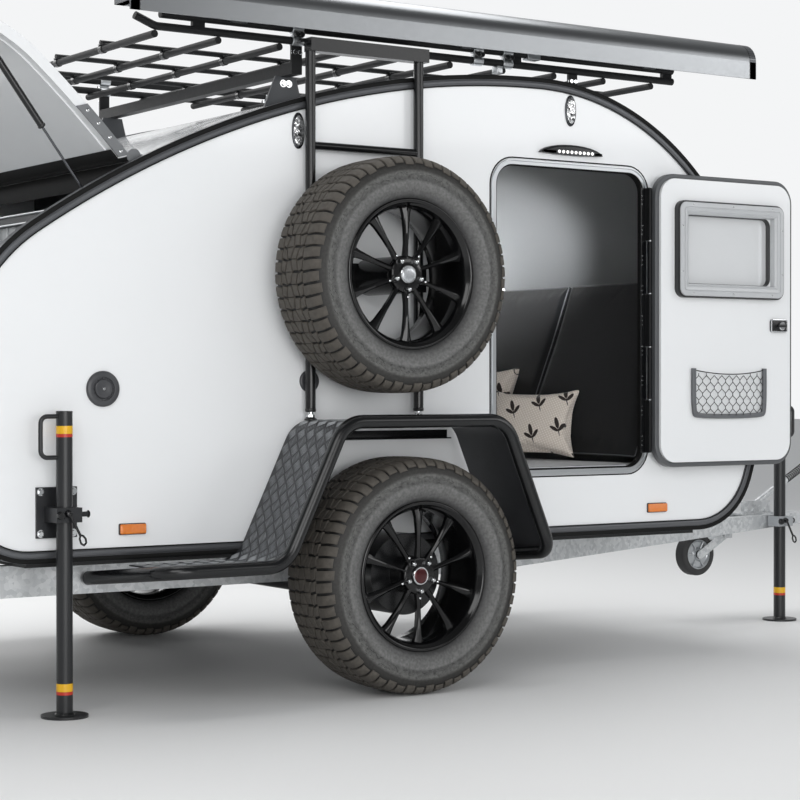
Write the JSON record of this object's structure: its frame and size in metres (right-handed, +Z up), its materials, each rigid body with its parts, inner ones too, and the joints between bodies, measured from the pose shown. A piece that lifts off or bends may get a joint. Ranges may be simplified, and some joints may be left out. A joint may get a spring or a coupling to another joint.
{
  "type": "teardrop trailer",
  "caption": "Off-road teardrop trailer with side doors, raised rear hatch over a galley, roof rack, awning case, ladder, spare wheel, step fenders and prop legs.",
  "frame": {"origin": "middle of the whole part's floor area, on the ground", "axes": "+X forward along the drawbar, +Y to the trailer's left, +Z up"},
  "size_m": [4.9844, 2.204, 2.305],
  "materials": {
    "gloss_white": "gloss",
    "edge_moulding": "satin",
    "light_alloy": "satin",
    "floor_black": "matt",
    "board_dark": "satin",
    "grey_lining": "matt",
    "window_glass": "gloss",
    "door_fitting": "satin",
    "black_steel": "satin",
    "chequer_plate": "satin",
    "anthracite": "satin",
    "galvanised": "dull",
    "bright_steel": "polished",
    "tyre_rubber": "matt",
    "wheel_black": "gloss",
    "black_upholstery": "woven",
    "beige_weave": "woven",
    "mattress_cloth": "woven",
    "fittings_black": "gloss",
    "lamp_clear": "gloss"
  },
  "bodies": {
    "trailer": {"side_panel_right": "gloss_white", "side_panel_left": "gloss_white", "edge_trims": "edge_moulding", "roof_and_tail_shell": "gloss_white", "floor_panel": "floor_black", "bulkhead": "board_dark", "cabin_lining": "grey_lining", "door_frames": "light_alloy", "hatch_hinges": "black_steel", "tyre_spare": "tyre_rubber", "rim_spare": "wheel_black", "axle": "black_steel", "drawbar_beam_right": "galvanised", "drawbar_beam_left": "galvanised", "fender_tube_right": "black_steel", "fender_tube_left": "black_steel", "fender_plate_right": "chequer_plate", "fender_plate_left": "chequer_plate", "ladder": "black_steel", "spare_carrier": "black_steel", "rack_rails": "black_steel", "rack_deck_tubes": "black_steel", "rack_beams": "black_steel", "rack_feet": "anthracite", "awning_case": "anthracite", "leg_clamps": "galvanised", "chassis_frame": "galvanised", "coupling_head": "galvanised", "brake_lever": "galvanised", "bed_base": "board_dark", "mattress": "mattress_cloth", "back_cushions": "black_upholstery", "pillows": "beige_weave", "galley_cabinet": "board_dark", "galley_boards": "board_dark", "side_fittings": "fittings_black", "lamps": "lamp_clear"},
    "wheel_right": {"tyre_right": "tyre_rubber", "rim_right": "wheel_black", "hub_drum_right": "black_steel"},
    "wheel_left": {"tyre_left": "tyre_rubber", "rim_left": "wheel_black", "hub_drum_left": "black_steel"},
    "door_right": {"door_leaf_right": "gloss_white", "door_window_right": "window_glass", "door_fittings_right": "door_fitting"},
    "door_left": {"door_leaf_left": "gloss_white", "door_window_left": "window_glass", "door_fittings_left": "door_fitting"},
    "hatch": {"hatch_shell": "gloss_white", "hatch_liner": "grey_lining", "hatch_brackets": "black_steel"},
    "strut_cylinders": {"strut_cylinders": "black_steel"},
    "strut_rods": {"strut_rods": "bright_steel"},
    "leg_rear_right": {"leg_rear_right": "black_steel"},
    "leg_rear_left": {"leg_rear_left": "black_steel"},
    "leg_front": {"leg_front": "black_steel"},
    "jockey_arm": {"jockey_fork": "galvanised"},
    "jockey_wheel": {"jockey_wheel": "tyre_rubber"}
  },
  "joints": [
    {"name": "wheel_right_spin", "type": "hinge", "parent": "trailer", "child": "wheel_right", "pos_m": [-0.46784, -0.959, 0.3875], "axis": [0, 1, 0], "continuous": true},
    {"name": "wheel_left_spin", "type": "hinge", "parent": "trailer", "child": "wheel_left", "pos_m": [-0.46784, 0.959, 0.3875], "axis": [0, 1, 0], "continuous": true},
    {"name": "door_right_swing", "type": "hinge", "parent": "trailer", "child": "door_right", "pos_m": [0.74416, -0.79, 1.249], "axis": [0, 0, -1], "range_deg": [0, 180]},
    {"name": "door_left_swing", "type": "hinge", "parent": "trailer", "child": "door_left", "pos_m": [0.74416, 0.79, 1.249], "axis": [0, 0, -1], "range_deg": [0, 180]},
    {"name": "hatch_lift", "type": "hinge", "parent": "trailer", "child": "hatch", "pos_m": [-1.33784, 0, 1.7317], "axis": [0, -1, 0], "range_deg": [0, 75]},
    {"name": "strut_turn", "type": "hinge", "parent": "hatch", "child": "strut_cylinders", "pos_m": [-1.83984, 0, 2.076], "axis": [0, -1, 0], "range_deg": [0, 17.16]},
    {"name": "strut_slide", "type": "slide", "parent": "strut_cylinders", "child": "strut_rods", "axis": [-0.5944, 0, 0.8041], "range_m": [0, 0.2012]},
    {"name": "leg_rear_right_lift", "type": "slide", "parent": "trailer", "child": "leg_rear_right", "axis": [0, 0, 1], "range_m": [0, 0.25]},
    {"name": "leg_rear_left_lift", "type": "slide", "parent": "trailer", "child": "leg_rear_left", "axis": [0, 0, 1], "range_m": [0, 0.25]},
    {"name": "leg_front_lift", "type": "slide", "parent": "trailer", "child": "leg_front", "axis": [0, 0, 1], "range_m": [0, 0.25]},
    {"name": "jockey_fold", "type": "hinge", "parent": "trailer", "child": "jockey_arm", "pos_m": [1.83216, 0, 0.372], "axis": [0, -1, 0], "range_deg": [0, 60]},
    {"name": "jockey_spin", "type": "hinge", "parent": "jockey_arm", "child": "jockey_wheel", "pos_m": [1.68216, 0, 0.289], "axis": [0, 1, 0], "continuous": true}
  ],
  "couplings": [
    {"joint": "strut_turn", "follows": "hatch_lift", "ratio": 0.22432},
    {"joint": "strut_slide", "follows": "hatch_lift", "m_per_rad": 0.15068}
  ]
}
